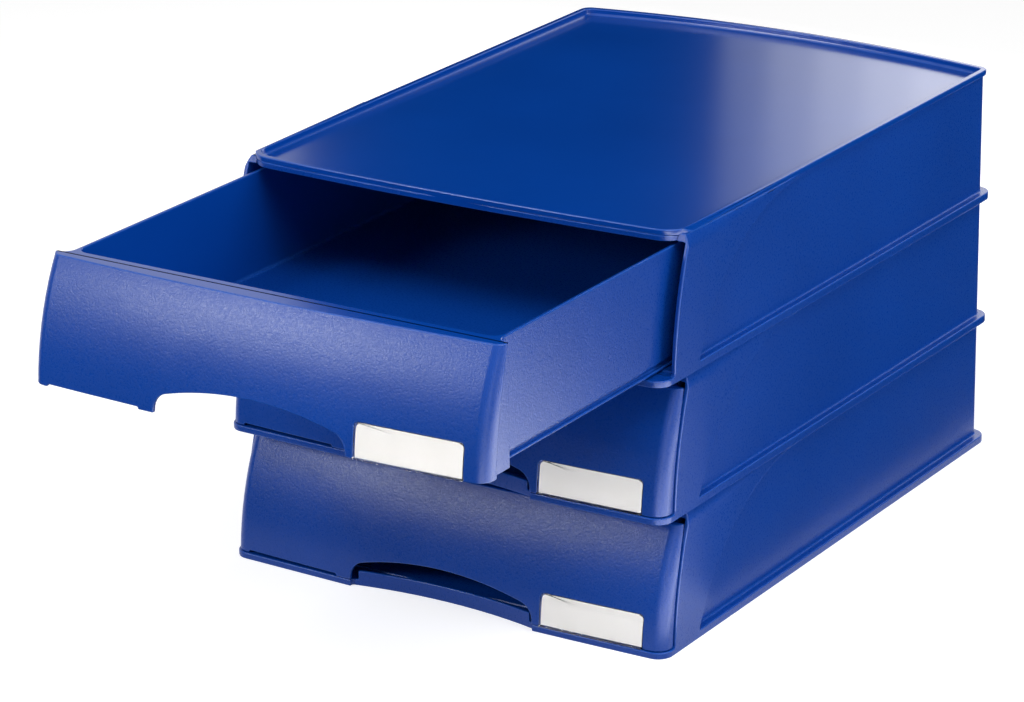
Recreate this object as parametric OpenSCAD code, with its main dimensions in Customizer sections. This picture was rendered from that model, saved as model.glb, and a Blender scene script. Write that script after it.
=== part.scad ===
// Letter tray stack: three stacked trays, each a moulded housing with one pull-out drawer.
// Units are millimetres. X runs across, Y runs from the front to the back, Z runs up.
// Each piece is drawn in the frame of its own tray: Y 0 is the line through the two front
// corners of the foot, and Z 0 is the underside of the foot. placed() moves it into the stack.

/* [Tray] */
// Width over the foot flange
tray_w = 255; // [240:1:290]
// Depth at the sides, from the front corners of the foot to the back corners
tray_d = 340; // [330:1:380]
// Height of one tray, from the foot to the top of its rim
tray_h = 71; // [66:0.5:90]
// How far the back of a tray bows outwards
back_bow = 14; // [6:0.5:20]
// How far the front edge of the foot bows outwards
foot_bow = 2.2; // [1:0.1:4]
// Plan radius of the corners
corner_r = 9; // [7.5:0.5:12]

/* [Housing] */
// Thickness of the housing walls
wall = 2.2; // [1.8:0.1:3]
// Width of the ledge that the foot flange makes outside the wall
ledge_w = 4.3; // [3.8:0.1:5.5]
// Height of the foot flange
ledge_h = 4.2; // [3.9:0.1:6]
// How far the foot reaches down round the rim of the tray below
nest = 2; // [1.8:0.1:2.8]
// How far the rim stands out from the wall
rim_out = 1.6; // [1.2:0.1:1.8]
// Width of the flat top of the rim
rim_w = 3.4; // [2.8:0.1:4.5]
// Height of the rim above the top plate
rim_rise = 3.8; // [3:0.1:5]
// Thickness of the top plate
plate_t = 2; // [1.6:0.1:2.6]
// How far the front of the rim stands behind the front corners of the foot
rim_back = 20; // [17:0.5:23]
// How far the front of the rim bows outwards
rim_bow = 4; // [3:0.5:6]
// Plan radius of the rim's front corners
rim_corner = 14; // [9:0.5:18]
// Height of the strip of foot below the drawer front
foot_strip = 3.4; // [3:0.1:3.7]
// How far the side cheek's front edge stands behind the front corners at its foot
cheek_back = 10.2; // [9:0.1:11]
// Radius of the side cheek's front edge, seen from the side
cheek_r = 200; // [190:5:260]
// Length of the flat front part of the cheek, from the front corners
cheek_flat = 38; // [36:1:42]
// Radius of the rounding over the top of the cheek, at the rim's front
round_r = 16; // [14:0.5:18]
// Height of that rounding, down from the rim's top
round_h = 12.5; // [12:0.5:13]
// Radius of the curved crease behind the cheek, seen from the side
crease_r = 110; // [104:1:116]
// Distance of the crease's centre behind the front corners
crease_y = 133; // [130:1:138]
// Length of the ramp from the crease down to the recessed wall
ramp = 2; // [1:0.5:4]

/* [Finger pull] */
// Distance from the finger arch to the label
pull_web = 4.5; // [4:0.5:10]
// Height of the top of the arch above the desk
arch_top = 20; // [18:0.5:26]
// Radius of the arch's shallow crown
arch_crown = 180; // [150:5:220]
// Radius of the arch's shoulders
arch_shoulder = 9; // [6:0.5:12]
// Depth of the scoop in the foot, behind the front corners
scoop = 6.1; // [4:0.1:7]
// Height of the sill behind the scoop
sill_h = 8; // [7:0.1:8.2]

/* [Drawer] */
// How far the top drawer stands open at rest
open_d = 150; // [0:5:230]
// Travel of a drawer from closed to its stop
travel = 240; // [230:5:260]
// Play beside the drawer box, between it and the housing's side wall
side_play = 1.9; // [1.5:0.1:4]
// Thickness of the drawer walls
box_wall = 2; // [1.6:0.1:2.6]
// Play over the drawer, between the top of its walls and the top plate
top_play = 2.3; // [2.2:0.1:6]
// Height of the underside of the drawer floor above the foot
box_floor = 8.7; // [8.6:0.1:12]
// Thickness of the drawer floor
floor_t = 1.8; // [1.5:0.1:2.5]
// Radius of the upright corners inside the drawer
box_r = 6; // [4:0.5:10]
// Distance of the drawer box's front wall behind the front corners
box_front = 25; // [24:0.5:28]
// Radius of the drawer front, seen from the side
front_r = 145; // [135:5:180]
// How far the drawer front bows outwards, seen from above
front_bow = 3.6; // [2:0.1:4]
// Radius of the drawer front's upright edges
front_edge_r = 7; // [5:0.5:7.5]
// How far the foot of the drawer front stands proud of the tray's foot
front_proud = 3; // [2:0.1:4]
// Thickness of the drawer front
front_t = 2.2; // [1.9:0.1:2.8]
// Height of the runner groove along the foot of each side
groove_h = 2.8; // [2:0.1:3.2]
// Depth of the runner groove
groove_d = 2; // [1:0.1:2.5]
// Width of the runner's foot
runner_w = 4.3; // [3.5:0.1:6]

/* [Label] */
// Distance of the label window from the end of the drawer front
label_edge = 11.8; // [9:0.1:14]
// Width of the label window
label_w = 56.7; // [50:0.1:58]
// Height of the top of the label window above the foot
label_top = 20.6; // [16:0.1:24]
// Thickness of the paper card
card_t = 0.35; // [0.3:0.05:0.4]
// Thickness of the clear window
window_t = 1.1; // [0.9:0.05:1.2]
// How far the window stands out of the drawer front
window_out = 0.3; // [0.1:0.05:0.5]
// Radius of the window's corners
window_r = 2.5; // [1:0.25:4]
// How far the lip along the window's foot stands out of the window
window_lip = 0.6; // [0.3:0.05:0.8]
// Height of that lip
lip_h = 1.1; // [0.6:0.1:2]

/* [Clearances] */
// Gap between the foot of a tray and the rim of the tray below
nest_gap = 0.3; // [0.2:0.05:0.5]
// Gap between a drawer and what it slides on or closes against
slide_gap = 0.3; // [0.25:0.05:0.4]
// Gap between the drawer front and the cheek's front edge
seam_gap = 0.4; // [0.3:0.05:0.6]
// Gap round the label card and its window
label_gap = 0.15; // [0.05:0.05:0.3]

/* [Hidden] */

blue = [0.03, 0.18, 0.55];
clear = [0.85, 0.92, 0.97, 0.45];
white = [0.95, 0.95, 0.93];

half_w = tray_w / 2;
pitch = tray_h - nest;                       // height that each tray adds to the stack
wall_half = half_w - ledge_w;                // outside of the side walls
cave_half = wall_half - wall;                // inside of the side walls
rim_in = ledge_w - rim_out;                  // rim's outside, in from the flange
skirt = rim_in - nest_gap;                   // thickness of the skirt round the rim below
plate_top = tray_h - rim_rise;
plate_under = plate_top - plate_t;
rim_foot = tray_h - rim_rise + 0.8;          // underside of the rim's outer lip
shoulder = pitch - nest_gap;                 // flat top of the cheeks
crease_z = rim_foot - crease_r;              // height of the crease's centre
round_end = crease_y + 2;                    // where the rounding runs out on the rim
tip_lift = 0.3;                              // the rounding's point lies this far over the rim
lean = atan(rim_in / (round_end - cheek_flat)); // how the cheek's face leans in behind its flat part
cheek_half = half_w - wall;                  // inside of the cheeks
axis_z = -6;                                 // height of the front curves' centres
cheek_axis = cheek_back + cheek_r;           // centre of the cheek's front edge
past = 400;                                  // reach of a cutter past the part

front_foot = foot_strip + slide_gap;         // underside of the drawer front
front_axis = front_r - front_proud;          // centre of the drawer front's side curve
front_half = half_w - 1;                     // half the width of the drawer front
plug_half = cheek_half - seam_gap;           // half the width of what enters the cheeks
plug_back = box_front - box_wall;            // back of the plug that enters the cheeks
front_deep = 60;                             // depth of the block that the front is cut from
box_half = cave_half - side_play;            // half the width of the drawer box
box_top = plate_under - top_play;            // top of the drawer's walls and front
label_x = front_half - label_edge - label_w; // the label's near edge
pull_half = label_x - pull_web;              // half the width of the finger arch and the scoop
front_turn = asin((box_top - axis_z) / front_r) + 4;
runner_foot = ledge_h + slide_gap;           // underside of the runners
runner_x = box_half - groove_d;              // outside of the runner's web
box_back_gap = 1.2;                          // box to the housing's back wall
nose_back = 24;                              // stop nose, in from the box's back corners
nose_l = 4;
stop_l = 3;
stop_low = box_top + 0.8;                    // underside of the housing's stop ribs
pocket = card_t + window_t - window_out + 2 * label_gap;
label_foot = front_foot;                     // the window stands on the drawer front's foot
tab = 9;                                     // width of the two tabs in the front's lower edge
relief = 1.2;                                // depth of the lower edge between the tabs

// Middle of the stack's length, with the top drawer open as it rests
front_most = front_face(label_x, label_foot, window_out + window_lip) - open_d;
back_most = tray_d + back_bow;
mid_y = (front_most + back_most) / 2;

function arc(cx, cy, r, a0, a1, n) =
  [for (i = [0:n]) let (a = a0 + (a1 - a0) * i / n) [cx + r * cos(a), cy + r * sin(a)]];

// Radius of an arc that rises by bow over a half width
function bow_r(half, bow) = (half * half + bow * bow) / (2 * bow);

// Y of the drawer front's surface at x and z, or of a surface that stands out from it
function front_face(x, z, out = 0) =
  let (r = bow_r(front_half, front_bow), reach = front_r - r + out + sqrt(r * r - x * x))
  front_axis - sqrt(reach * reach - pow(z - axis_z, 2));

// One end of an outline: a shallow arc of radius r about [0, c], whose corners of radius
// cr run into straight sides at x = half and x = -half
function bowed_end(half, r, c, cr) =
  let (q = c + sqrt(pow(r - cr, 2) - pow(half - cr, 2)), t = atan2(q - c, half - cr))
  concat(arc(half - cr, q, cr, 0, t, 8),
         arc(0, c, r, t, 180 - t, 30),
         arc(cr - half, q, cr, 180 - t, 180, 8));

// Outline of a tray in plan, drawn in from the flange by side. The front runs through
// y0 at the corners and bows outwards by bow.
function tray_plan(side, y0, bow, cr) =
  let (rb = bow_r(half_w, back_bow), rf = bow_r(half_w, bow), cb = max(corner_r - side, 1))
  concat([for (p = bowed_end(half_w - side, rb - side, back_bow - rb, cb)) [p.x, tray_d + p.y]],
         [for (p = bowed_end(half_w - side, rf - side, bow - rf, cr)) [-p.x, y0 - p.y - side]]);

module slab(plan, z0, z1) {
  translate([0, 0, z0]) linear_extrude(z1 - z0) polygon(plan);
}

// A side view, points [y, z], extruded across from x0 to x1
module across(profile, x0, x1) {
  translate([x0, 0, 0]) rotate([90, 0, 90]) linear_extrude(x1 - x0) polygon(profile);
}

module block(x0, x1, y0, y1, z0, z1) {
  translate([x0, y0, z0]) cube([x1 - x0, y1 - y0, z1 - z0]);
}

module both_sides() {
  children();
  mirror([1, 0, 0]) children();
}

// Side view of all that lies behind the cheek's front edge, up to the height top
function behind_cheek(top, gap = 0) =
  let (a0 = asin(-axis_z / cheek_r), a1 = asin((top - axis_z) / cheek_r))
  concat([for (p = arc(0, axis_z, cheek_r, a0, a1, 14)) [cheek_axis - p.x - gap, p.y]],
         [[tray_d + past, top], [tray_d + past, 0]]);

// The dish behind the crease: a cone across the tray, open to the back. grow moves
// it outwards, for the inside of the cheek's wall.
module crease_dish(x0, x1, grow) {
  translate([x0, crease_y, crease_z]) rotate([0, 90, 0])
    cylinder(h = x1 - x0, r1 = crease_r - ramp + grow, r2 = crease_r + grow, $fn = 240);
  block(x0, x1, crease_y, tray_d + past, -past, past);
}

// What lies outside the cheek's leaning face, behind the flat part; set in by side
module outside_lean(side) {
  translate([half_w - side, cheek_flat, 0]) rotate([0, 0, lean])
    block(0, ledge_w, 0, tray_d, ledge_h, tray_h);
}

// What lies outside the rounding over the cheek's top: a cone that starts wide at the
// front and runs out to a point on the rim
module outside_rounding() {
  run = round_end - rim_back;
  reach = round_end + 3;                     // ends in front of the foot
  spread = atan(round_r / run);
  translate([half_w - rim_in, round_end, tray_h + tip_lift])
    rotate([90 + atan(round_h / run), 0, lean]) rotate([0, -spread, 0]) difference() {
      cube([round_r * 2, round_r * 2, reach]);
      rotate([0, 0, 180]) cylinder(h = reach + 1, r1 = 0, r2 = (reach + 1) * tan(spread), $fn = 360);
    }
}

module cheek() {
  difference() {
    across(behind_cheek(shoulder), cave_half, half_w);
    crease_dish(wall_half, half_w, 0);
    block(cave_half - 1, half_w + 1, crease_y, tray_d + past, -1, tray_h);
    outside_lean(0);
  }
}

module scoop_cylinder(grow) {
  r = bow_r(pull_half, scoop - 0.3);
  translate([0, scoop - r, 0]) cylinder(h = tray_h, r = r + grow, $fn = 720);
}

module housing() {
  rim_plan = tray_plan(rim_in, rim_back, rim_bow, rim_corner);
  well_plan = tray_plan(rim_in + rim_w, rim_back + rim_w, rim_bow, rim_corner - rim_w);
  color(blue) difference() {
    union() {
      slab(tray_plan(0, 0, foot_bow, corner_r - 1), 0, ledge_h);
      intersection() {
        slab(tray_plan(ledge_w, 0, foot_bow, corner_r - ledge_w), 0, plate_under);
        across(behind_cheek(plate_under), -half_w, half_w);
      }
      slab(tray_plan(ledge_w, rim_back, rim_bow, rim_corner - rim_out), plate_under, rim_foot);
      slab(rim_plan, rim_foot, tray_h);
      both_sides() cheek();
    }
    // the cave that holds the drawer
    intersection() {
      slab(tray_plan(ledge_w + wall, -past, foot_bow, 1), ledge_h, plate_under);
      block(-half_w, half_w, -past, tray_d + past, ledge_h, plate_under);
    }
    // the cheeks are hollow, and open to the front
    both_sides() difference() {
      block(cave_half - 1, cheek_half, -past, crease_y, ledge_h, plate_under);
      crease_dish(cave_half - 1, cheek_half, wall);
      outside_lean(wall);
    }
    both_sides() outside_rounding();
    slab(well_plan, plate_top, tray_h + 1);
    // the foot fits round the rim of the tray below
    slab(tray_plan(skirt, rim_back - nest_gap, rim_bow, rim_corner + nest_gap), -1, nest);
    // the strip of foot that the drawer front stands over
    block(-half_w - 1, half_w + 1, -past, cheek_back, foot_strip, ledge_h + 1);
    block(-cheek_half, cheek_half, -past, cheek_back + 4, foot_strip, ledge_h + 1);
    intersection() {
      translate([0, 0, -1]) scoop_cylinder(0);
      block(-pull_half, pull_half, -past, scoop + 1, -1, tray_h);
    }
  }
  sill_half = pull_half - arch_shoulder / 3;
  color(blue) {
    // sill behind the scoop, clear of the arch's shoulders
    difference() {
      intersection() {
        scoop_cylinder(wall);
        block(-sill_half, sill_half, -1, past, foot_strip - 0.2, sill_h);
      }
      scoop_cylinder(0);
    }
    // ribs under the top plate that stop the drawer
    both_sides() translate([cave_half - 9, 0, 0])
      block(0, 9.5, nose_y() - travel - slide_gap - stop_l, nose_y() - travel - slide_gap,
            stop_low, plate_under + 0.5);
  }
}

// Front face of the stop nose on a closed drawer
function nose_y() = tray_d - ledge_w - wall - box_back_gap - nose_back;

// The drawer front's plan, set in by side, as points [distance from the side curve's
// axis, x]
function front_plan(side) =
  let (r = bow_r(front_half, front_bow))
  concat([for (p = bowed_end(front_half - side, r - side, front_bow - r, front_edge_r - side))
            [front_r - front_bow + p.y, p.x]],
         [[front_r - front_deep, side - front_half], [front_r - front_deep, front_half - side]]);

// The drawer front as a solid block: its plan turned about the axis of its side curve
module front_block(side) {
  translate([0, front_axis, axis_z]) rotate([90, 0, -90])
    rotate([0, 0, -6]) rotate_extrude(angle = front_turn + 6, $fn = 360)
      polygon(front_plan(side));
}

module arch_cutter() {
  arch = concat(bowed_end(pull_half, arch_crown, arch_top - arch_crown, arch_shoulder),
                [[-pull_half, -9], [pull_half, -9]]);
  translate([0, plug_back - box_wall, 0]) rotate([90, 0, 0])
    linear_extrude(plug_back + 10) polygon(arch);
}

// Rounded rectangle in front view, extruded through the drawer front
module label_outline(gap, z0, z1) {
  x0 = label_x - gap;
  x1 = label_x + label_w + gap;
  top = z1 + gap;
  translate([0, plug_back, 0]) rotate([90, 0, 0]) linear_extrude(plug_back + 10)
    polygon(concat([[x0, z0], [x1, z0]],
                   arc(x1 - window_r, top - window_r, window_r, 0, 90, 8),
                   arc(x0 + window_r, top - window_r, window_r, 90, 180, 8)));
}

module box_plan(side) {
  rb = bow_r(half_w, back_bow);
  back = ledge_w + wall + box_back_gap;
  polygon(concat(
    [for (p = bowed_end(box_half - side, rb - back - side, back_bow - rb, box_r - side))
       [p.x, tray_d + p.y]],
    side == 0 ? [[-box_half, plug_back], [box_half, plug_back]]
              : concat(arc(-box_half + side + box_r, box_front + side + box_r, box_r, 180, 270, 8),
                       arc(box_half - side - box_r, box_front + side + box_r, box_r, 270, 360, 8))));
}

module drawer() {
  flare = plug_half - box_half;
  color(blue) difference() {
    union() {
      // the front, in front of the cheeks
      difference() {
        intersection() {
          front_block(0);
          block(-half_w, half_w, -past, past, front_foot, box_top);
        }
        across(behind_cheek(tray_h, seam_gap), -half_w, half_w);
      }
      // the plug behind it, between the cheeks
      intersection() {
        front_block(0);
        block(-plug_half, plug_half, -past, plug_back, ledge_h + slide_gap, box_top);
      }
      // flares that run from the plug into the sides
      both_sides() difference() {
        block(box_half - 1, plug_half, plug_back - 1, plug_back + flare,
              ledge_h + slide_gap, box_top);
        translate([plug_half, plug_back + flare, 0])
          cylinder(h = tray_h, r = flare, $fn = 64);
      }
      translate([0, 0, box_floor]) linear_extrude(box_top - box_floor) box_plan(0);
      runners();
      stop_noses();
    }
    // inside of the box
    translate([0, 0, box_floor + floor_t]) linear_extrude(tray_h) box_plan(box_wall);
    // hollow behind the front, open from below
    intersection() {
      front_block(front_t);
      block(-plug_half + box_wall, plug_half - box_wall, -past, plug_back, -1, box_top - box_wall);
    }
    block(box_wall - box_half, box_half - box_wall, plug_back - 1, box_front, -1,
          box_top - box_wall);
    arch_cutter();
    // the lower edge is set up between two tabs
    block(tab - front_half, -pull_half - tab, -past, plug_back, -1, front_foot + relief);
    // pocket for the label
    intersection() {
      difference() {
        front_block(-1);
        front_block(pocket);
      }
      label_outline(label_gap, -1, label_top);
    }
  }
}

module runners() {
  back = nose_y() + nose_back - box_r;
  both_sides() {
    block(runner_x - runner_w + groove_d, runner_x, plug_back, back,
          runner_foot, box_floor + 0.5);
    block(runner_x - runner_w + groove_d, box_half, plug_back, back,
          runner_foot, box_floor - groove_h);
  }
}

module stop_noses() {
  both_sides() block(box_half - 6, box_half, nose_y(), nose_y() + nose_l,
                     box_top - 2, plate_under - 0.6);
}

// A layer of the label, between two depths below the drawer front's surface
module label_layer(out, in, gap, z0, z1) {
  intersection() {
    difference() {
      front_block(out);
      front_block(in);
    }
    label_outline(gap, z0, z1);
  }
}

module label_card() {
  color(white) label_layer(pocket - label_gap - card_t, pocket - label_gap,
                           -0.6, label_foot + 0.8, label_top);
}

module label_window() {
  color(clear) difference() {
    label_layer(-window_out - window_lip, window_t - window_out, 0, label_foot, label_top);
    // above its lip the window is thinner
    difference() {
      block(0, half_w, -past, plug_back, label_foot + lip_h, tray_h);
      front_block(-window_out);
    }
  }
}

// Tray number level, counted up from the desk; open slides it forwards
module placed(level, open = 0) {
  translate([0, -mid_y - open, level * pitch]) children();
}

placed(0) housing();  // housing_lower
placed(1) housing();  // housing_middle
placed(2) housing();  // housing_upper
placed(0) drawer();  // drawer_lower
placed(1) drawer();  // drawer_middle
placed(2, open_d) drawer();  // drawer_upper
placed(0) label_window();  // label_window_lower
placed(1) label_window();  // label_window_middle
placed(2, open_d) label_window();  // label_window_upper
placed(0) label_card();  // label_card_lower
placed(1) label_card();  // label_card_middle
placed(2, open_d) label_card();  // label_card_upper
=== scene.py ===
# %% [markdown]
# # A stack of letter trays with drawers
#
# Three trays of one kind stand on each other. Each is a moulded housing with a moulded
# drawer, and each drawer carries a blank paper card behind a small clear window. The
# construction is already exact in the frame, so this lesson gives the solids what the mould
# and the plastic give the real ones: rounded edges, fillets, grain, sheen and light.
#
# The frame is loaded first. Nothing that follows may outgrow it.

# %% Load the frame
import math

import bmesh
import bpy
from mathutils import Matrix, Vector
from mathutils.bvhtree import BVHTree


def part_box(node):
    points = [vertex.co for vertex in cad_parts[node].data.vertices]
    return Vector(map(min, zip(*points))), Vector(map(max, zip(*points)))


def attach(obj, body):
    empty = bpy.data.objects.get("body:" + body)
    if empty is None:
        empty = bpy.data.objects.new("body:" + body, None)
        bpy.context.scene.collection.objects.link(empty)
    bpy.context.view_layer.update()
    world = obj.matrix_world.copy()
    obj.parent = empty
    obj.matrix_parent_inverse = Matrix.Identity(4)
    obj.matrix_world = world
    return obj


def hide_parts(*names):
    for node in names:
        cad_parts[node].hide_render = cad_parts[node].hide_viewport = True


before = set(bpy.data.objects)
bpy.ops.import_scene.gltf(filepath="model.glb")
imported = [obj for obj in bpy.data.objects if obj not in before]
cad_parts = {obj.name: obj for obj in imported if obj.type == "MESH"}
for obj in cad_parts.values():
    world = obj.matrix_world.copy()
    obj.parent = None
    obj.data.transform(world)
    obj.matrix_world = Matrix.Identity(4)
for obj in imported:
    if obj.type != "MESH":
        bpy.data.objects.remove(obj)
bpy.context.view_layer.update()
LEVELS = ("lower", "middle", "upper")
MM = 0.001

# %% [markdown]
# ## Heights and outlines that later steps use
#
# A few faces get another finish than their neighbours: the top plate is smooth, and so is
# the inside of a drawer. They could be picked by hand in edit mode, but then a new size
# would mean picking them again. So they are found by where they lie in their own tray. The
# large sizes come from the boxes of the frame's nodes. The small ones, such as the height
# of the rim, are sizes of the part.

# %% Measure the trays
housing_lo = {level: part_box(f"housing_{level}")[0] for level in LEVELS}
housing_hi = {level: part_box(f"housing_{level}")[1] for level in LEVELS}
HALF_WIDTH = housing_hi["lower"].x
TRAY_HEIGHT = housing_hi["lower"].z - housing_lo["lower"].z
RIM_RISE = 3.8 * MM
RIM_INSET = 2.7 * MM
LEDGE_WIDTH = 4.3 * MM
LEDGE_HEIGHT = 4.2 * MM
DRAWER_FLOOR_TOP = 10.5 * MM
WALL_OUTSIDE = HALF_WIDTH - LEDGE_WIDTH - 0.5 * MM
BACK_OUTSIDE = housing_hi["lower"].y - LEDGE_WIDTH - 1.0 * MM
print(f"tray {2 * HALF_WIDTH * 1000:.0f} mm wide, {TRAY_HEIGHT * 1000:.1f} mm high")

# %% [markdown]
# ## Node helpers
#
# Every material is a small network of nodes. It could be wired socket by socket, but that
# hides the idea behind many equal lines, so a few helpers do it. One adds a node and sets
# its values. One feeds a socket, with a number or from another socket. The others build
# what comes back most: a sum, a stretched range, a mix, a noise, a group.

# %% Helpers for nodes
MIX_SOCKETS = {"FLOAT": (0, 2, 3), "RGBA": (0, 6, 7)}
MIX_RESULT = {"FLOAT": 0, "RGBA": 2}


def add_node(tree, kind, **values):
    node = tree.nodes.new(kind)
    for name, value in values.items():
        if hasattr(node, name):
            setattr(node, name, value)
        else:
            node.inputs[name.replace("_", " ")].default_value = value
    return node


def feed(tree, value, socket):
    if isinstance(value, (int, float)):
        socket.default_value = value
    else:
        tree.links.new(value, socket)


def maths(tree, operation, *values):
    node = add_node(tree, "ShaderNodeMath", operation=operation)
    for value, socket in zip(values, node.inputs):
        feed(tree, value, socket)
    return node.outputs[0]


def stretched(tree, value, before=(0.0, 1.0), after=(0.0, 1.0)):
    node = add_node(tree, "ShaderNodeMapRange", From_Min=before[0], From_Max=before[1],
                    To_Min=after[0], To_Max=after[1])
    feed(tree, value, node.inputs["Value"])
    return node.outputs[0]


def mixed(tree, kind, share, first, second):
    node = add_node(tree, "ShaderNodeMix", data_type=kind)
    for value, number in zip((share, first, second), MIX_SOCKETS[kind]):
        feed(tree, value, node.inputs[number])
    return node.outputs[MIX_RESULT[kind]]


def noise(tree, place, scale, detail, roughness=0.5):
    node = add_node(tree, "ShaderNodeTexNoise", Detail=detail, Roughness=roughness)
    feed(tree, place, node.inputs["Vector"])
    feed(tree, scale, node.inputs["Scale"])
    return node.outputs[0]


def new_group(name, kind, inputs, outputs):
    tree = bpy.data.node_groups.new(name, kind)
    for way, sockets in (("INPUT", inputs), ("OUTPUT", outputs)):
        for label, holds in sockets.items():
            tree.interface.new_socket(label, in_out=way, socket_type=f"NodeSocket{holds}")
    given, result = add_node(tree, "NodeGroupInput"), add_node(tree, "NodeGroupOutput")
    return tree, given.outputs, result.inputs


# %% [markdown]
# ## Shared effect: moulded grain
#
# The sides and the fronts carry a fine grain, because the mould was etched there: shallow
# pits about a millimetre across, closer and deeper than the ripple of a paint. A picture of
# grain could be laid on, but it shows its seams, and up close its pixels. Noise has
# neither: one noise gives the pits and a finer one breaks them up. The group puts out the
# height for a Bump node and a mask of the pits for the roughness.

# %% Node group for the grain
FINE_PER_COARSE = 2.7
PIT_EDGES = (0.38, 0.62)


def make_grain_group():
    group, given, result = new_group(
        "moulded grain", "ShaderNodeTree",
        {"Vector": "Vector", "Pit Scale": "Float", "Fine Share": "Float"},
        {"Height": "Float", "Pits": "Float"})
    coarse = noise(group, given["Vector"], given["Pit Scale"], detail=2.0, roughness=0.55)
    fine_scale = maths(group, "MULTIPLY", given["Pit Scale"], FINE_PER_COARSE)
    fine = noise(group, given["Vector"], fine_scale, detail=1.0)
    height = mixed(group, "FLOAT", given["Fine Share"], coarse, fine)
    feed(group, height, result["Height"])
    feed(group, stretched(group, height, before=PIT_EDGES), result["Pits"])
    return group


GRAIN = make_grain_group()
print("node group:", GRAIN.name)

# %% [markdown]
# ## Shared effect: drift in the colour
#
# No moulding has one even tone. The dye flows with the melt and leaves broad patches that
# are a little darker or lighter. They could be painted on the vertices, but a large flat
# face has too few of them. So a slow noise blends the two tones, and the paper of the label
# cards can use the same group with smaller patches.

# %% Node group for slow drift
PATCH_EDGES = (0.3, 0.7)


def make_drift_group():
    group, given, result = new_group(
        "slow drift", "ShaderNodeTree",
        {"Vector": "Vector", "Patch Scale": "Float", "Dark": "Color", "Light": "Color"},
        {"Color": "Color"})
    patches = noise(group, given["Vector"], given["Patch Scale"], detail=3.0)
    share = stretched(group, patches, before=PATCH_EDGES)
    tone = mixed(group, "RGBA", share, given["Dark"], given["Light"])
    feed(group, tone, result["Color"])
    return group


DRIFT = make_drift_group()
print("node group:", DRIFT.name)

# %% [markdown]
# ## Shared effect: worn edges and painted highlight
#
# Fingers and neighbours rub the rounded edges first, and there the grain is polished away.
# The paler colour laid on the rounds is painted highlight: it stands in for the thin bright
# lines that light draws along a rounded edge. A shader could look for edges while it
# renders, but that is slow and an exported model loses it, so the mesh carries a mark on its
# rounds. The group takes that rounded attribute, breaks it up with a noise so that wear and
# highlight aren't even, and puts out a mask and the paler colour.

# %% Node group for worn edges and painted highlight
BREAKUP_SCALE = 120.0
BREAKUP_EDGES = (0.3, 0.7)
BREAKUP_SHARES = (0.55, 1.0)


def make_wear_and_highlight_group():
    group, given, result = new_group(
        "worn edges and painted highlight", "ShaderNodeTree",
        {"Vector": "Vector", "Rounded": "Float", "Color": "Color", "Worn Color": "Color",
         "Amount": "Float"},
        {"Color": "Color", "Mask": "Float"})
    breakup = noise(group, given["Vector"], BREAKUP_SCALE, detail=2.0)
    uneven = stretched(group, breakup, before=BREAKUP_EDGES, after=BREAKUP_SHARES)
    mask = maths(group, "MULTIPLY", given["Rounded"], uneven)
    share = maths(group, "MULTIPLY", mask, given["Amount"])
    # The paler colour mixed in on the rounds is painted highlight; the polish from the same
    # mask is wear.
    tone = mixed(group, "RGBA", share, given["Color"], given["Worn Color"])
    feed(group, tone, result["Color"])
    feed(group, mask, result["Mask"])
    return group


WEAR_AND_HIGHLIGHT = make_wear_and_highlight_group()
print("node group:", WEAR_AND_HIGHLIGHT.name)

# %% [markdown]
# ## The blue plastic
#
# One dyed plastic makes every blue part, but the mould gives it two skins. Sides and fronts
# are grained, so their sheen is broad. The top plate and the inside of a drawer are
# polished to a satin, so they show soft reflections. Two materials could be built one by
# one, but their blues would soon drift apart. So both skins come from one function, and
# only depth of grain, roughness and strength of the sheen differ.

# %% The blue skins
BLUE_DARK = (0.0008, 0.041, 0.270, 1)
BLUE_LIGHT = (0.0012, 0.048, 0.310, 1)
# The paler blue below is painted highlight on the rounds, where the edges also wear.
BLUE_WORN_AND_HIGHLIGHT = (0.020, 0.095, 0.420, 1)
PIT_SCALE = 950.0
FINE_SHARE = 0.35
PATCH_SCALE = 9.0
WEAR_AND_HIGHLIGHT_AMOUNT = 0.6
EDGE_ROUGHNESS = 0.24


def new_material(name, **values):
    material = bpy.data.materials.new(name)
    material.use_nodes = True
    shader = material.node_tree.nodes["Principled BSDF"]
    for label, value in values.items():
        shader.inputs[label.replace("_", " ")].default_value = value
    return material, material.node_tree, shader.inputs


def object_place(tree):
    return add_node(tree, "ShaderNodeTexCoord").outputs["Object"]


def use_group(tree, group, place, **values):
    node = add_node(tree, "ShaderNodeGroup", node_tree=group, **values)
    feed(tree, place, node.inputs["Vector"])
    return node


def bumped(tree, height, depth, strength=1.0):
    node = add_node(tree, "ShaderNodeBump", Strength=strength, Distance=depth)
    feed(tree, height, node.inputs["Height"])
    return node.outputs[0]


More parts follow.
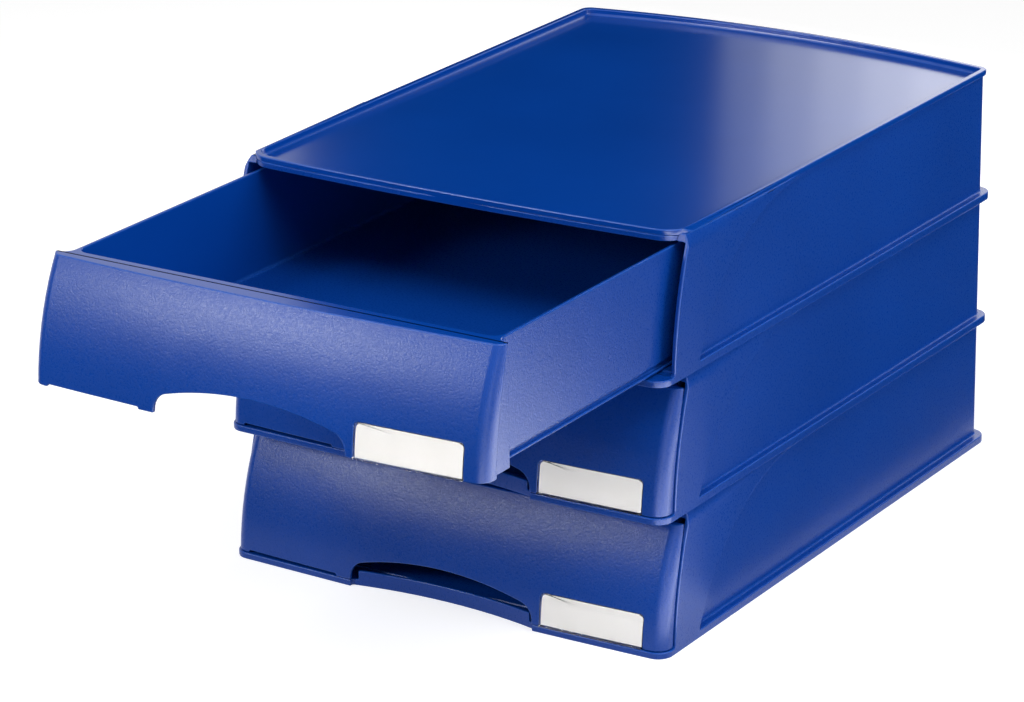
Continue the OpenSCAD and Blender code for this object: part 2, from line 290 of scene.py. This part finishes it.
def blue_plastic(name, roughness, rough_spread, grain_depth, specular):
    material, tree, skin = new_material(name, Specular_IOR_Level=specular)
    place = object_place(tree)
    grain = use_group(tree, GRAIN, place, Pit_Scale=PIT_SCALE, Fine_Share=FINE_SHARE)
    drift = use_group(tree, DRIFT, place, Patch_Scale=PATCH_SCALE, Dark=BLUE_DARK,
                      Light=BLUE_LIGHT)
    # The mix toward the paler blue on the rounds is painted highlight; the lower roughness
    # there is wear.
    wear_and_highlight = use_group(tree, WEAR_AND_HIGHLIGHT, place, Worn_Color=BLUE_WORN_AND_HIGHLIGHT, Amount=WEAR_AND_HIGHLIGHT_AMOUNT)
    rounded = add_node(tree, "ShaderNodeAttribute", attribute_name="rounded")
    feed(tree, rounded.outputs["Fac"], wear_and_highlight.inputs["Rounded"])
    feed(tree, drift.outputs["Color"], wear_and_highlight.inputs["Color"])
    feed(tree, wear_and_highlight.outputs["Color"], skin["Base Color"])
    rough = stretched(tree, grain.outputs["Pits"],
                      after=(roughness - rough_spread, roughness + rough_spread))
    polished = mixed(tree, "FLOAT", wear_and_highlight.outputs["Mask"], rough, EDGE_ROUGHNESS)
    feed(tree, polished, skin["Roughness"])
    unworn = maths(tree, "SUBTRACT", 1.0, wear_and_highlight.outputs["Mask"])
    height = maths(tree, "MULTIPLY", grain.outputs["Height"], unworn)
    feed(tree, bumped(tree, height, grain_depth), skin["Normal"])
    return material


GRAINED = blue_plastic("grained blue plastic", roughness=0.31, rough_spread=0.06,
                       grain_depth=0.00013, specular=0.30)
SATIN = blue_plastic("satin blue plastic", roughness=0.16, rough_spread=0.02,
                     grain_depth=0.000004, specular=0.35)
print("blue skins:", GRAINED.name, "and", SATIN.name)

# %% [markdown]
# ## Window and card
#
# The window is a clear moulding with a polished skin, and the card behind it is plain
# paper with a faint tooth. A window could be left out and the card made glossy, but then
# the card would have no depth. So clear plastic is a transmitting shader, with a low index
# that keeps its rim faint. The paper gets a fine bump and a slightly uneven white from the
# same groups as the plastic.

# %% Window and card finishes
WINDOW_TINT = (0.985, 0.985, 0.985, 1)
WINDOW_INDEX = 1.46
WINDOW_MARKS = 160.0
WINDOW_ROUGHNESS = (0.04, 0.12)
PAPER_DARK = (0.89, 0.87, 0.84, 1)
PAPER_LIGHT = (0.93, 0.91, 0.89, 1)
PAPER_SPECULAR = 0.2
PAPER_ROUGHNESS = (0.8, 0.95)
PAPER_PATCH_SCALE = 60.0
TOOTH_SCALE = 2600.0
TOOTH_FINE_SHARE = 0.5
TOOTH_DEPTH = 0.00004
TOOTH_STRENGTH = 0.4


def window_plastic():
    material, tree, skin = new_material("clear window plastic", Base_Color=WINDOW_TINT,
                                        Transmission_Weight=1.0, IOR=WINDOW_INDEX)
    marks = noise(tree, object_place(tree), WINDOW_MARKS, detail=3.0)
    feed(tree, stretched(tree, marks, after=WINDOW_ROUGHNESS), skin["Roughness"])
    return material


def card_paper():
    material, tree, skin = new_material("label card paper",
                                        Specular_IOR_Level=PAPER_SPECULAR)
    place = object_place(tree)
    drift = use_group(tree, DRIFT, place, Patch_Scale=PAPER_PATCH_SCALE, Dark=PAPER_DARK,
                      Light=PAPER_LIGHT)
    grain = use_group(tree, GRAIN, place, Pit_Scale=TOOTH_SCALE, Fine_Share=TOOTH_FINE_SHARE)
    rough = stretched(tree, grain.outputs["Pits"], after=PAPER_ROUGHNESS)
    tooth = bumped(tree, grain.outputs["Height"], TOOTH_DEPTH, strength=TOOTH_STRENGTH)
    feed(tree, drift.outputs["Color"], skin["Base Color"])
    feed(tree, rough, skin["Roughness"])
    feed(tree, tooth, skin["Normal"])
    return material


WINDOW = window_plastic()
PAPER = card_paper()
print("clear and paper finishes:", WINDOW.name, "and", PAPER.name)

# %% [markdown]
# ## From exact solids to moulded pieces
#
# A solid from the frame is a mesh of loose triangles. The pieces could be modelled again
# with clean faces, but then their sizes would no longer be exact. So a copy of each solid
# is merged and its flat faces are made whole again, and only the real edges of the moulding
# are left. The modifiers that follow are turned into plain meshes.

# %% Merge a node, settle its modifiers
SAME_POINT = 0.002 * MM
SHORT_EDGE = 0.01 * MM
FLAT_ANGLE = math.radians(0.6)


def new_object(name, content):
    item = bpy.data.objects.new(name, content)
    bpy.context.scene.collection.objects.link(item)
    return item


def merged_copy(node):
    work = bmesh.new()
    work.from_mesh(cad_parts[node].data)
    bmesh.ops.remove_doubles(work, verts=work.verts, dist=SAME_POINT)
    bmesh.ops.dissolve_limit(work, angle_limit=FLAT_ANGLE, verts=work.verts,
                             edges=work.edges, use_dissolve_boundaries=False)
    bmesh.ops.dissolve_degenerate(work, dist=SHORT_EDGE, edges=work.edges)
    return work


def settled(piece):
    graph = bpy.context.evaluated_depsgraph_get()
    mesh = bpy.data.meshes.new_from_object(piece.evaluated_get(graph), depsgraph=graph)
    piece.modifiers.clear()
    piece.data = mesh
    return piece


# %% [markdown]
# ## Room for the rounds
#
# A real moulding has no knife edges: every outer edge is rounded by half a millimetre or
# more, and that thin round is what catches the light. A Bevel modifier makes it. Its own
# clamp would shrink every round to what the thinnest rib can take, so it is switched off,
# and a weight on each edge sets the width instead. The weight follows the room beside the
# edge: the length of the edges that meet its ends and leave it sideways.

# %% Weigh the edges
SHARP_ANGLE = math.radians(24)
SIDEWAYS = (math.radians(40), math.radians(140))
ROOM_SHARE = 0.45


def room_beside(edge, most):
    room = most
    for corner in edge.verts:
        along = edge.other_vert(corner).co - corner.co
        for other in corner.link_edges:
            if other is edge:
                continue
            across = other.other_vert(corner).co - corner.co
            if SIDEWAYS[0] < along.angle(across, 0.0) < SIDEWAYS[1]:
                room = min(room, ROOM_SHARE * across.length)
    return room


def weigh_edges(work, radius, least_room):
    weight = work.edges.layers.float.new("bevel_weight_edge")
    for edge in work.edges:
        if len(edge.link_faces) == 2 and edge.calc_face_angle() > SHARP_ANGLE:
            edge[weight] = max(room_beside(edge, radius), least_room) / radius


# %% [markdown]
# ## Rounded pieces
#
# The faces of a round get a material slot of their own at first. A face attribute named
# rounded is made from it, which the finishes read: hands polish a round, and the paler
# colour laid on it is painted highlight.
# It is kept by face, because a large flat face has corners only beside its rounds.
#
# Where the rounds of three edges meet, a corner can stick out into the play of the drawer,
# so a vertex that leaves the exact solid is brought back to its surface. Weighted normals
# come last and keep the large faces flat beside the rounds.

# %% Round the edges of a piece
STICK_OUT = 0.19 * MM
INSIDE_SHARE = -0.3
ROUND_SEGMENTS = 2
FACE_WEIGHT = 50


def mark_rounds(mesh, values):
    mask = mesh.attributes.new("rounded", "FLOAT", "FACE")
    mask.data.foreach_set("value", values)


def keep_in_solid(mesh, node):
    work = merged_copy(node)
    bmesh.ops.triangulate(work, faces=work.faces)
    solid = BVHTree.FromBMesh(work)
    work.free()
    low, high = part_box(node)
    for vertex in mesh.vertices:
        place, normal, _, away = solid.find_nearest(vertex.co)
        if away > STICK_OUT and (vertex.co - place).dot(normal) > INSIDE_SHARE * away:
            vertex.co = place
        vertex.co = [min(max(value, least), most)
                     for value, least, most in zip(vertex.co, low, high)]


def rounded_piece(node, name, radius, least_room=0.0):
    work = merged_copy(node)
    weigh_edges(work, radius, least_room)
    mesh = bpy.data.meshes.new(name)
    work.to_mesh(mesh)
    work.free()
    mesh.shade_smooth()
    mesh.materials.clear()
    for finish in (GRAINED, SATIN):
        mesh.materials.append(finish)
    piece = new_object(name, mesh)
    bevel = piece.modifiers.new("rounded edges", "BEVEL")
    bevel.width = radius
    bevel.segments = ROUND_SEGMENTS
    bevel.limit_method = "WEIGHT"
    bevel.use_clamp_overlap = False
    bevel.miter_outer = "MITER_ARC"
    bevel.material = 1
    settled(piece)
    keep_in_solid(piece.data, node)
    mark_rounds(piece.data, [float(face.material_index) for face in piece.data.polygons])
    weigh = piece.modifiers.new("flat faces", "WEIGHTED_NORMAL")
    weigh.weight = FACE_WEIGHT
    weigh.keep_sharp = False
    return settled(piece)


# %% [markdown]
# ## Fillets that follow the walls
#
# Where a wall meets a plate, a mould has a fillet: round the foot of the rim, along the
# foot of the outer walls and round the floor inside each drawer. A wider bevel could make
# it, but it would eat the small steps beside it. So one node tree sweeps a profile along
# the edges that are found on the solid itself. The profile is a hollow quarter circle
# whose corner sinks into the wall.

# %% Node tree for the fillets
def make_fillet_tree():
    tree, given, result = new_group(
        "fillet along a path", "GeometryNodeTree",
        {"Path": "Geometry", "Radius": "Float", "Sink": "Float", "Steps": "Int",
         "Finish": "Material"},
        {"Fillet": "Geometry"})
    radius, sink, steps = given["Radius"], given["Sink"], given["Steps"]
    ring = add_node(tree, "GeometryNodeCurvePrimitiveCircle")
    feed(tree, maths(tree, "ADD", steps, 2), ring.inputs["Resolution"])
    index = add_node(tree, "GeometryNodeInputIndex").outputs[0]
    turn = maths(tree, "MULTIPLY", maths(tree, "DIVIDE", index, steps), math.pi / 2)
    angle = maths(tree, "ADD", turn, math.pi)
    corner = maths(tree, "GREATER_THAN", index, maths(tree, "ADD", steps, 0.5))
    along = add_node(tree, "ShaderNodeCombineXYZ")
    for axis, wave, way in ((0, "COSINE", 1), (1, "SINE", -1)):
        reach = maths(tree, "ADD", maths(tree, wave, angle), 1)
        pick = add_node(tree, "GeometryNodeSwitch", input_type="FLOAT")
        feed(tree, corner, pick.inputs["Switch"])
        feed(tree, maths(tree, "MULTIPLY", radius, reach), pick.inputs["False"])
        feed(tree, maths(tree, "MULTIPLY", sink, -1), pick.inputs["True"])
        feed(tree, maths(tree, "MULTIPLY", pick.outputs[0], way), along.inputs[axis])
    shape = add_node(tree, "GeometryNodeSetPosition")
    feed(tree, ring.outputs["Curve"], shape.inputs["Geometry"])
    feed(tree, along.outputs[0], shape.inputs["Position"])
    path = add_node(tree, "GeometryNodeMeshToCurve")
    feed(tree, given["Path"], path.inputs["Mesh"])
    upright = add_node(tree, "GeometryNodeSetCurveNormal", mode="Z_UP")
    feed(tree, path.outputs[0], upright.inputs[0])
    sweep = add_node(tree, "GeometryNodeCurveToMesh")
    sweep.inputs["Fill Caps"].default_value = True
    feed(tree, upright.outputs[0], sweep.inputs["Curve"])
    feed(tree, shape.outputs[0], sweep.inputs["Profile Curve"])
    real = add_node(tree, "GeometryNodeRealizeInstances")
    finish = add_node(tree, "GeometryNodeSetMaterial")
    feed(tree, sweep.outputs[0], real.inputs[0])
    feed(tree, real.outputs[0], finish.inputs["Geometry"])
    feed(tree, given["Finish"], finish.inputs["Material"])
    feed(tree, finish.outputs[0], result[0])
    return tree


FILLET = make_fillet_tree()
print("fillet tree:", len(FILLET.nodes), "nodes")

# %% [markdown]
# ## Paths on the solids
#
# A fillet's path is a chain of edges where a wall stands on a level face. It could be drawn
# as a curve, but the back of a tray is bowed, and the solid knows its line best. So the
# edges are picked by height on the exact solid, kept where the corner is hollow, and joined
# end to end. Walking each chain with the level face on its left makes every fillet open to
# the right side.

# %% Find the paths
SAME_HEIGHT = 0.02 * MM
HOLLOW_ANGLE = -math.radians(60)


def hollow_edges(work, height, keep):
    picked = []
    for edge in work.edges:
        ends = [corner.co for corner in edge.verts]
        if any(abs(end.z - height) > SAME_HEIGHT for end in ends) or len(edge.link_faces) != 2:
            continue
        if edge.calc_face_angle_signed() > HOLLOW_ANGLE or not all(map(keep, ends)):
            continue
        wall_face = min(edge.link_faces, key=lambda face: face.normal.z)
        run = ends[1] - ends[0]
        flip = run.cross(wall_face.normal).z > 0
        picked.append((edge.verts[1], edge.verts[0]) if flip else tuple(edge.verts))
    return picked


def chains(edges):
    following = dict(edges)
    starts = [first for first in following if first not in set(following.values())]
    walked = set()
    for start in starts + list(following):
        if start in walked:
            continue
        chain = [start]
        while chain[-1] in following and chain[-1] not in walked:
            walked.add(chain[-1])
            chain.append(following[chain[-1]])
        yield chain


def path_mesh(edges, name):
    places, links = [], []
    for chain in chains(edges):
        closed = chain[0] is chain[-1]
        first = len(places)
        places += [tuple(corner.co) for corner in chain[:len(chain) - closed]]
        links += [(number, number + 1) for number in range(first, len(places) - 1)]
        if closed:
            links.append((len(places) - 1, first))
    mesh = bpy.data.meshes.new(name)
    mesh.from_pydata(places, links, [])
    return mesh


# %% [markdown]
# ## Sweeping and joining the fillets
#
# Each path gets the node tree as a modifier, with its radius and finish set by the names of
# the inputs. The swept fillets could stay objects of their own, but on the real tray they
# are the same moulding, so they are joined to their piece. They count as half worn, since
# fingers reach them less, and get half the paler colour of a round as painted highlight.

# %% Sweep the fillets and join them
FILLET_SINK = 0.1 * MM
FILLET_STEPS = 4
SWEPT_SHARP = math.radians(40)
# The fillets get half the paler blue of a round, as painted highlight along their line.
SWEPT_WEAR_AND_HIGHLIGHT = 0.5


def fillets(node, name, height, keep, radius, finish):
    work = merged_copy(node)
    edges = hollow_edges(work, height, keep)
    path = new_object(name, path_mesh(edges, name))
    work.free()
    sweep = path.modifiers.new("fillet", "NODES")
    sweep.node_group = FILLET
    values = {"Radius": radius, "Sink": FILLET_SINK, "Steps": FILLET_STEPS, "Finish": finish}
    for socket in FILLET.interface.items_tree:
        if socket.in_out == "INPUT" and socket.name in values:
            sweep[socket.identifier] = values[socket.name]
    return settled(path)


def join_into(piece, extras):
    work = bmesh.new()
    for extra in extras:
        work.from_mesh(extra.data)
        bpy.data.objects.remove(extra)
    bmesh.ops.recalc_face_normals(work, faces=work.faces)
    for face in work.faces:
        face.smooth = True
    swept = bpy.data.meshes.new("swept")
    work.to_mesh(swept)
    work.free()
    swept.set_sharp_from_angle(angle=SWEPT_SHARP)
    mark_rounds(swept, [SWEPT_WEAR_AND_HIGHLIGHT] * len(swept.polygons))
    whole = new_object("swept", swept)
    with bpy.context.temp_override(active_object=piece, object=piece,
                                   selected_editable_objects=[piece, whole]):
        bpy.ops.object.join()


# %% [markdown]
# ## Housings
#
# The housing holds the drawer and carries the tray above on its rim. It has grain on its
# sides, and the mould's polish on the top plate within the rim. A mask could blend the two,
# but in a mould they meet at a sharp line, so the finish is chosen face by face: what lies
# between the rims of the sides, at the height of the top plate or above, is satin, and the
# rest is grained. A fillet runs round the foot of the rim, and a smaller one along the foot
# of the outer walls.

# %% Housings
EDGE_ROUND = 0.6 * MM
RIM_FILLET = 1.5 * MM
WALL_FILLET = 1.0 * MM
WALL_STRIP = 1.5 * MM
PLATE_MARGIN = 0.5 * MM
RIM_MARGIN = 0.2 * MM


def finish_faces(piece, materials, pick):
    piece.data.materials.clear()
    for material in materials:
        piece.data.materials.append(material)
    for face in piece.data.polygons:
        face.material_index = pick(face.center)


def housing_finish(plate_top):
    inside = HALF_WIDTH - RIM_INSET + RIM_MARGIN

    def pick(centre):
        return 1 if centre.z > plate_top - PLATE_MARGIN and abs(centre.x) < inside else 0
    return pick


def outside_wall(point):
    return (WALL_OUTSIDE < abs(point.x) < WALL_OUTSIDE + WALL_STRIP
            or point.y > BACK_OUTSIDE)


def everywhere(point):
    return True


for level in LEVELS:
    node = f"housing_{level}"
    piece = rounded_piece(node, f"tray_housing_{level}", EDGE_ROUND)
    plate_top = housing_lo[level].z + TRAY_HEIGHT - RIM_RISE
    ledge_top = housing_lo[level].z + LEDGE_HEIGHT
    join_into(piece, [
        fillets(node, "rim fillet", plate_top, everywhere, RIM_FILLET, SATIN),
        fillets(node, "wall fillet", ledge_top, outside_wall, WALL_FILLET, GRAINED)])
    finish_faces(piece, (GRAINED, SATIN), housing_finish(plate_top))
    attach(piece, "stack")
    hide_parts(node)
    print(piece.name, len(piece.data.polygons), "faces")

# %% [markdown]
# ## Drawers
#
# A drawer slides in its housing on its own moulded runners. It is grained outside and satin
# inside: the mould opens upwards, so all that faces the inside of the box was on the
# polished core. The inside could be picked by the way its faces look, but the front is
# curved, so it is found by its place: between the side walls, behind the front, before the
# back wall and above the floor's underside.

# %% Drawers
FLOOR_FILLET = 1.5 * MM
INSIDE_HALF_WIDTH = 117.6 * MM
INSIDE_FRONT = 24 * MM
INSIDE_BACK = 1.5 * MM
INSIDE_HEIGHT = 8 * MM


def drawer_finish(level):
    low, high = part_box(f"drawer_{level}")
    floor = low.z + INSIDE_HEIGHT
    front = low.y + INSIDE_FRONT
    back = high.y - INSIDE_BACK

    def pick(centre):
        inside = (abs(centre.x) < INSIDE_HALF_WIDTH and front < centre.y < back
                  and centre.z > floor)
        return 1 if inside else 0
    return pick


for level in LEVELS:
    node = f"drawer_{level}"
    piece = rounded_piece(node, f"tray_drawer_{level}", EDGE_ROUND)
    floor_top = housing_lo[level].z + DRAWER_FLOOR_TOP
    join_into(piece, [
        fillets(node, "floor fillet", floor_top, everywhere, FLOOR_FILLET, SATIN)])
    finish_faces(piece, (GRAINED, SATIN), drawer_finish(level))
    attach(piece, f"drawer_{level}")
    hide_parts(node)
    print(piece.name, len(piece.data.polygons), "faces")

# %% [markdown]
# ## Windows and cards
#
# A window is a small clear moulding that is pressed into a pocket of the drawer's front. It
# could be rounded like the drawer, but it is thin, so its rounds are small and equally wide
# everywhere. The card behind it is cut paper, which has no rounds, so the exact solid stays
# and only gets the paper finish.

# %% Windows and cards
WINDOW_ROUND = 0.18 * MM

for level in LEVELS:
    window = rounded_piece(f"label_window_{level}", f"label_cover_{level}", WINDOW_ROUND,
                           least_room=WINDOW_ROUND)
    finish_faces(window, (WINDOW,), lambda centre: 0)
    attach(window, f"drawer_{level}")
    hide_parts(f"label_window_{level}")
    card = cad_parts[f"label_card_{level}"]
    card.data.materials.clear()
    card.data.materials.append(PAPER)
    print(window.name, len(window.data.polygons), "faces, over", card.name)

# %% [markdown]
# ## Camera
#
# The camera stands to the right of the stack and looks down on it with a long lens. It
# could be placed by eye, but then a wrong shape and a wrong view look alike. So its place
# and angles were fitted to edges of the object in the photograph.

# %% Camera
CAMERA_PLACE = Vector((1.0252, -1.6013, 0.7942))
CAMERA_YAW = math.radians(-33.183)
CAMERA_PITCH = math.radians(19.982)
CAMERA_ROLL = math.radians(-0.933)
LENS_PIXELS = 4023.4
IMAGE_WIDTH = 1024
SENSOR_WIDTH = 36.0


def camera_axes(yaw, pitch, roll):
    ahead = Vector((math.sin(yaw) * math.cos(pitch), math.cos(yaw) * math.cos(pitch),
                    -math.sin(pitch)))
    right = Vector((math.cos(yaw), -math.sin(yaw), 0))
    up = right.cross(ahead)
    turned_right = math.cos(roll) * right + math.sin(roll) * up
    turned_up = math.cos(roll) * up - math.sin(roll) * right
    return Matrix((turned_right, turned_up, -ahead)).transposed()


camera_data = bpy.data.cameras.new("camera")
camera_data.sensor_width = SENSOR_WIDTH
camera_data.lens = LENS_PIXELS / IMAGE_WIDTH * SENSOR_WIDTH
camera = new_object("camera", camera_data)
camera.matrix_world = (Matrix.Translation(CAMERA_PLACE)
                       @ camera_axes(CAMERA_YAW, CAMERA_PITCH, CAMERA_ROLL).to_4x4())
bpy.context.scene.camera = camera
print(f"lens {camera_data.lens:.1f} mm")

# %% [markdown]
# ## Floor and surroundings
#
# The stack stands on a plain white sweep. A floor that only glows would be white but show
# no shadow, and one that only takes light would turn grey. So a part of its white comes
# from an emission that camera, gloss and clear plastic see. The surroundings are white to
# them too and dim to all else, so that the soft boxes make the light and shade.

# %% Floor and world
WHITE = (1, 1, 1, 1)
FLOOR_RADIUS = 4.0
FLOOR_GREY = (0.62, 0.62, 0.62, 1)
FLOOR_GLOW = 0.68
WORLD_STRENGTH = (0.22, 1.0)


def white_where_seen(tree):
    ray = add_node(tree, "ShaderNodeLightPath").outputs
    first = maths(tree, "MAXIMUM", ray["Is Camera Ray"], ray["Is Glossy Ray"])
    return maths(tree, "MAXIMUM", first, ray["Is Transmission Ray"])


floor_mesh = bpy.data.meshes.new("floor")
work = bmesh.new()
bmesh.ops.create_circle(work, cap_ends=True, segments=96, radius=FLOOR_RADIUS)
work.to_mesh(floor_mesh)
work.free()
floor_white, tree, skin = new_material("white floor", Base_Color=FLOOR_GREY, Roughness=1.0,
                                       Specular_IOR_Level=0.0, Emission_Color=WHITE)
glow = maths(tree, "MULTIPLY", white_where_seen(tree), FLOOR_GLOW)
feed(tree, glow, skin["Emission Strength"])
floor_mesh.materials.append(floor_white)
floor = new_object("floor", floor_mesh)

world = bpy.data.worlds.new("surroundings")
bpy.context.scene.world = world
world.use_nodes = True
tree = world.node_tree
background = tree.nodes["Background"]
background.inputs["Color"].default_value = WHITE
strength = stretched(tree, white_where_seen(tree), after=WORLD_STRENGTH)
feed(tree, strength, background.inputs["Strength"])
bpy.context.scene.view_settings.view_transform = "Standard"
print(f"floor {2 * FLOOR_RADIUS:.0f} m across, world {world.name}")

# %% [markdown]
# ## Light
#
# Soft boxes make the sheen. The top plate mirrors what stands low behind the stack. One box
# there would lie in the plate with a hard end, so there are five that end at one line on
# the right, each narrower than the one behind it, and their glow fades to the left. A box
# on the left in front lays a pale band along the top of each front, and a small one above
# it lights the rims. One above lights the top, one on the right lights the sides, and a low
# one picks out the front edges.

# %% Soft boxes
REAR_BOXES = 5
REAR_RIGHT = 0.26
REAR_WIDTH = 0.68
REAR_NARROWER = 0.04
REAR_HEIGHT = 0.60
REAR_POWER_BY_WIDTH = 1.07


def soft_box(name, place, aim, width, height, power):
    lamp = bpy.data.lights.new(name, "AREA")
    lamp.shape = "RECTANGLE"
    lamp.size = width
    lamp.size_y = height
    lamp.energy = power
    body = new_object(name, lamp)
    body.location = place
    body.rotation_euler = (Vector(aim) - Vector(place)).to_track_quat("-Z", "Y").to_euler()
    body.visible_camera = False


for step in range(REAR_BOXES):
    width = REAR_WIDTH - REAR_NARROWER * step
    middle = REAR_RIGHT - width / 2
    soft_box(f"rear soft box {step + 1}", (middle, 0.90 - MM * step, 0.46),
             (middle, 0.0, 0.40), width, REAR_HEIGHT, REAR_POWER_BY_WIDTH * width)
soft_box("front soft box", (-0.86, -1.39, 0.74), (0.0, -0.20, 0.12), 0.42, 0.36, 12.0)
soft_box("rim soft box", (-0.64, -0.72, 1.20), (0.0, -0.15, 0.20), 0.32, 0.32, 3.0)
soft_box("top soft box", (0.45, -0.40, 1.05), (0.0, -0.05, 0.15), 0.6, 0.6, 6.0)
soft_box("right soft box", (1.60, 0.10, 0.80), (0.12, 0.0, 0.10), 0.9, 0.9, 14.5)
soft_box("edge soft box", (1.15, -1.35, 0.45), (0.12, -0.20, 0.15), 0.5, 0.5, 2.2)
powers = [lamp.energy for lamp in bpy.data.lights]
print(len(powers), "soft boxes,", f"{sum(powers):.1f} W")

# %% [markdown]
# ## Cards for the gloss
#
# White surroundings make satin plastic look pale. A darker blue could hide that, but then
# the shaded faces would be too dark. A studio sets up cards instead, which are seen only as
# reflections. A dark card stands behind the rear boxes and keeps the rest of the top plate
# deep blue. One stands behind the front box, and two lie on the floor where the sides and
# the foot of the fronts would mirror white. Two bright cards lie where the wall of the open
# drawer and the front edges of the housings mirror the floor. Only gloss sees a card, so it
# shades and lights nothing.

# %% Dark and bright cards
BRIGHT_GLOW = 8.0
CARD_LIFT = 0.001


def card_surface(name, glow):
    return new_material(name, Base_Color=(0, 0, 0, 1), Specular_IOR_Level=0.0,
                        Emission_Color=WHITE, Emission_Strength=glow)[0]


DARK = card_surface("dark card", 0.0)
BRIGHT = card_surface("bright card", BRIGHT_GLOW)


def gloss_card(name, corners, surface):
    mesh = bpy.data.meshes.new(name)
    mesh.from_pydata(corners, [], [tuple(range(len(corners)))])
    mesh.materials.append(surface)
    card = new_object(name, mesh)
    card.visible_camera = False
    card.visible_diffuse = False
    card.visible_transmission = False
    card.visible_shadow = False


def standing_card(name, start, end, height):
    gloss_card(name, [(*start, 0.0), (*end, 0.0), (*end, height), (*start, height)], DARK)


def lying_card(name, outline, surface=DARK):
    gloss_card(name, [(x, y, CARD_LIFT) for x, y in outline], surface)


standing_card("rear card", (-0.86, 0.96), (2.60, 0.96), 1.6)
standing_card("front card", (-1.90, -0.60), (-0.10, -2.10), 0.9)
lying_card("right floor card", [(0.135, -0.03), (0.22, 0.03), (0.34, 0.20), (2.60, 0.26),
                                (2.60, 2.60), (0.135, 2.60)])
lying_card("front floor card", [(-1.90, -0.60), (-0.10, -2.10), (0.30, -1.20),
                                (0.08, -0.20), (-0.60, -0.20)])
lying_card("bright card beside the drawer", [(0.16, -0.40), (1.20, -0.40), (1.20, 0.18),
                                             (0.40, 0.18), (0.16, -0.06)], BRIGHT)
lying_card("bright card before the drawer", [(0.30, -0.85), (0.60, -0.85), (0.60, -0.45),
                                             (0.30, -0.45)], BRIGHT)
print("cards for the gloss:", DARK.users, "dark and", BRIGHT.users, "bright")
